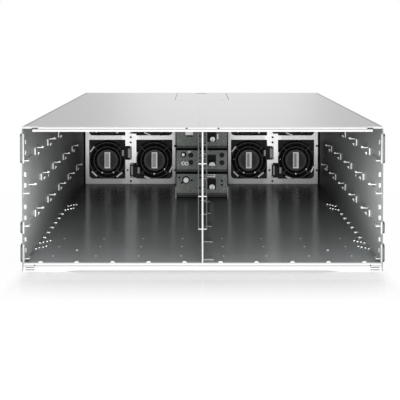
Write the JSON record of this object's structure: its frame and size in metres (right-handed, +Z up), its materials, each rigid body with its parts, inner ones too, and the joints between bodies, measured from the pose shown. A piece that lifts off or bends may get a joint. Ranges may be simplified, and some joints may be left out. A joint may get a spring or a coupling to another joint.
{
  "type": "multi-node server chassis",
  "caption": "Front-open rack server chassis with guide-tabbed tray bays, slide-out fan modules with spinning rotors, pull-out power modules and a hinged access panel.",
  "frame": {"origin": "middle of the whole outline, handles included, at the height of the base", "axes": "+X to the right seen from the open front, +Y from the open front to the rear, +Z up"},
  "size_m": [0.4444, 0.723, 0.177],
  "materials": {
    "zinc_steel": "zinc-plated, satin",
    "cover_steel": "zinc-plated, satin",
    "fan_plastic": "moulded",
    "rotor_plastic": "moulded",
    "guard_steel": "powder coat",
    "connector": "moulded",
    "stud": "moulded",
    "board": "solder mask",
    "module_case": "satin",
    "handle_plastic": "moulded",
    "latch_plastic": "moulded"
  },
  "bodies": {
    "chassis": {"base_pan": "zinc_steel", "top_cover": "cover_steel", "center_divider": "zinc_steel", "power_cage": "zinc_steel", "fan_sockets": "connector", "tray_plugs": "connector", "board_studs": "stud", "module_sockets": "connector", "side_wall_right": "zinc_steel", "side_wall_left": "zinc_steel", "side_bracket_right": "zinc_steel", "side_bracket_left": "zinc_steel", "fan_frame_left": "zinc_steel", "fan_frame_right": "zinc_steel", "power_board_1": "board", "power_board_2": "board", "power_board_3": "board", "power_board_4": "board"},
    "access_panel": {"access_panel": "cover_steel"},
    "fan_module_1": {"fan_housing_1": "fan_plastic", "fan_guard_1": "guard_steel"},
    "rotor_1": {"fan_rotor_1": "rotor_plastic"},
    "fan_module_2": {"fan_housing_2": "fan_plastic", "fan_guard_2": "guard_steel"},
    "rotor_2": {"fan_rotor_2": "rotor_plastic"},
    "fan_module_3": {"fan_housing_3": "fan_plastic", "fan_guard_3": "guard_steel"},
    "rotor_3": {"fan_rotor_3": "rotor_plastic"},
    "fan_module_4": {"fan_housing_4": "fan_plastic", "fan_guard_4": "guard_steel"},
    "rotor_4": {"fan_rotor_4": "rotor_plastic"},
    "fan_module_5": {"fan_housing_5": "fan_plastic", "fan_guard_5": "guard_steel"},
    "rotor_5": {"fan_rotor_5": "rotor_plastic"},
    "fan_module_6": {"fan_housing_6": "fan_plastic", "fan_guard_6": "guard_steel"},
    "rotor_6": {"fan_rotor_6": "rotor_plastic"},
    "fan_module_7": {"fan_housing_7": "fan_plastic", "fan_guard_7": "guard_steel"},
    "rotor_7": {"fan_rotor_7": "rotor_plastic"},
    "fan_module_8": {"fan_housing_8": "fan_plastic", "fan_guard_8": "guard_steel"},
    "rotor_8": {"fan_rotor_8": "rotor_plastic"},
    "power_unit_1": {"power_module_1": "module_case", "module_handle_1": "handle_plastic"},
    "latch_1": {"module_latch_1": "latch_plastic"},
    "power_unit_2": {"power_module_2": "module_case", "module_handle_2": "handle_plastic"},
    "latch_2": {"module_latch_2": "latch_plastic"},
    "power_unit_3": {"power_module_3": "module_case", "module_handle_3": "handle_plastic"},
    "latch_3": {"module_latch_3": "latch_plastic"},
    "power_unit_4": {"power_module_4": "module_case", "module_handle_4": "handle_plastic"},
    "latch_4": {"module_latch_4": "latch_plastic"}
  },
  "joints": [
    {"name": "access_panel_hinge", "type": "hinge", "parent": "chassis", "child": "access_panel", "pos_m": [0, 0.137, 0.177], "axis": [1, 0, 0], "range_deg": [0, 60]},
    {"name": "fan_1_slide", "type": "slide", "parent": "chassis", "child": "fan_module_1", "axis": [0, 1, 0], "range_m": [0, 0.04]},
    {"name": "fan_1_spin", "type": "hinge", "parent": "fan_module_1", "child": "rotor_1", "pos_m": [-0.17555, 0.3162, 0.0537], "axis": [0, 1, 0], "continuous": true},
    {"name": "fan_2_slide", "type": "slide", "parent": "chassis", "child": "fan_module_2", "axis": [0, 1, 0], "range_m": [0, 0.04]},
    {"name": "fan_2_spin", "type": "hinge", "parent": "fan_module_2", "child": "rotor_2", "pos_m": [-0.08785, 0.3162, 0.0537], "axis": [0, 1, 0], "continuous": true},
    {"name": "fan_3_slide", "type": "slide", "parent": "chassis", "child": "fan_module_3", "axis": [0, 1, 0], "range_m": [0, 0.04]},
    {"name": "fan_3_spin", "type": "hinge", "parent": "fan_module_3", "child": "rotor_3", "pos_m": [-0.17555, 0.3162, 0.1355], "axis": [0, 1, 0], "continuous": true},
    {"name": "fan_4_slide", "type": "slide", "parent": "chassis", "child": "fan_module_4", "axis": [0, 1, 0], "range_m": [0, 0.04]},
    {"name": "fan_4_spin", "type": "hinge", "parent": "fan_module_4", "child": "rotor_4", "pos_m": [-0.08785, 0.3162, 0.1355], "axis": [0, 1, 0], "continuous": true},
    {"name": "fan_5_slide", "type": "slide", "parent": "chassis", "child": "fan_module_5", "axis": [0, 1, 0], "range_m": [0, 0.04]},
    {"name": "fan_5_spin", "type": "hinge", "parent": "fan_module_5", "child": "rotor_5", "pos_m": [0.08785, 0.3162, 0.0537], "axis": [0, 1, 0], "continuous": true},
    {"name": "fan_6_slide", "type": "slide", "parent": "chassis", "child": "fan_module_6", "axis": [0, 1, 0], "range_m": [0, 0.04]},
    {"name": "fan_6_spin", "type": "hinge", "parent": "fan_module_6", "child": "rotor_6", "pos_m": [0.17555, 0.3162, 0.0537], "axis": [0, 1, 0], "continuous": true},
    {"name": "fan_7_slide", "type": "slide", "parent": "chassis", "child": "fan_module_7", "axis": [0, 1, 0], "range_m": [0, 0.04]},
    {"name": "fan_7_spin", "type": "hinge", "parent": "fan_module_7", "child": "rotor_7", "pos_m": [0.08785, 0.3162, 0.1355], "axis": [0, 1, 0], "continuous": true},
    {"name": "fan_8_slide", "type": "slide", "parent": "chassis", "child": "fan_module_8", "axis": [0, 1, 0], "range_m": [0, 0.04]},
    {"name": "fan_8_spin", "type": "hinge", "parent": "fan_module_8", "child": "rotor_8", "pos_m": [0.17555, 0.3162, 0.1355], "axis": [0, 1, 0], "continuous": true},
    {"name": "power_1_slide", "type": "slide", "parent": "chassis", "child": "power_unit_1", "axis": [0, 1, 0], "range_m": [0, 0.18]},
    {"name": "latch_1_turn", "type": "hinge", "parent": "power_unit_1", "child": "latch_1", "pos_m": [0.036, 0.3394, 0.03291], "axis": [0, 0, 1], "range_deg": [0, 15]},
    {"name": "power_2_slide", "type": "slide", "parent": "chassis", "child": "power_unit_2", "axis": [0, 1, 0], "range_m": [0, 0.18]},
    {"name": "latch_2_turn", "type": "hinge", "parent": "power_unit_2", "child": "latch_2", "pos_m": [0.036, 0.3394, 0.07314], "axis": [0, 0, 1], "range_deg": [0, 15]},
    {"name": "power_3_slide", "type": "slide", "parent": "chassis", "child": "power_unit_3", "axis": [0, 1, 0], "range_m": [0, 0.18]},
    {"name": "latch_3_turn", "type": "hinge", "parent": "power_unit_3", "child": "latch_3", "pos_m": [0.036, 0.3394, 0.11336], "axis": [0, 0, 1], "range_deg": [0, 15]},
    {"name": "power_4_slide", "type": "slide", "parent": "chassis", "child": "power_unit_4", "axis": [0, 1, 0], "range_m": [0, 0.18]},
    {"name": "latch_4_turn", "type": "hinge", "parent": "power_unit_4", "child": "latch_4", "pos_m": [0.036, 0.3394, 0.15359], "axis": [0, 0, 1], "range_deg": [0, 15]}
  ]
}
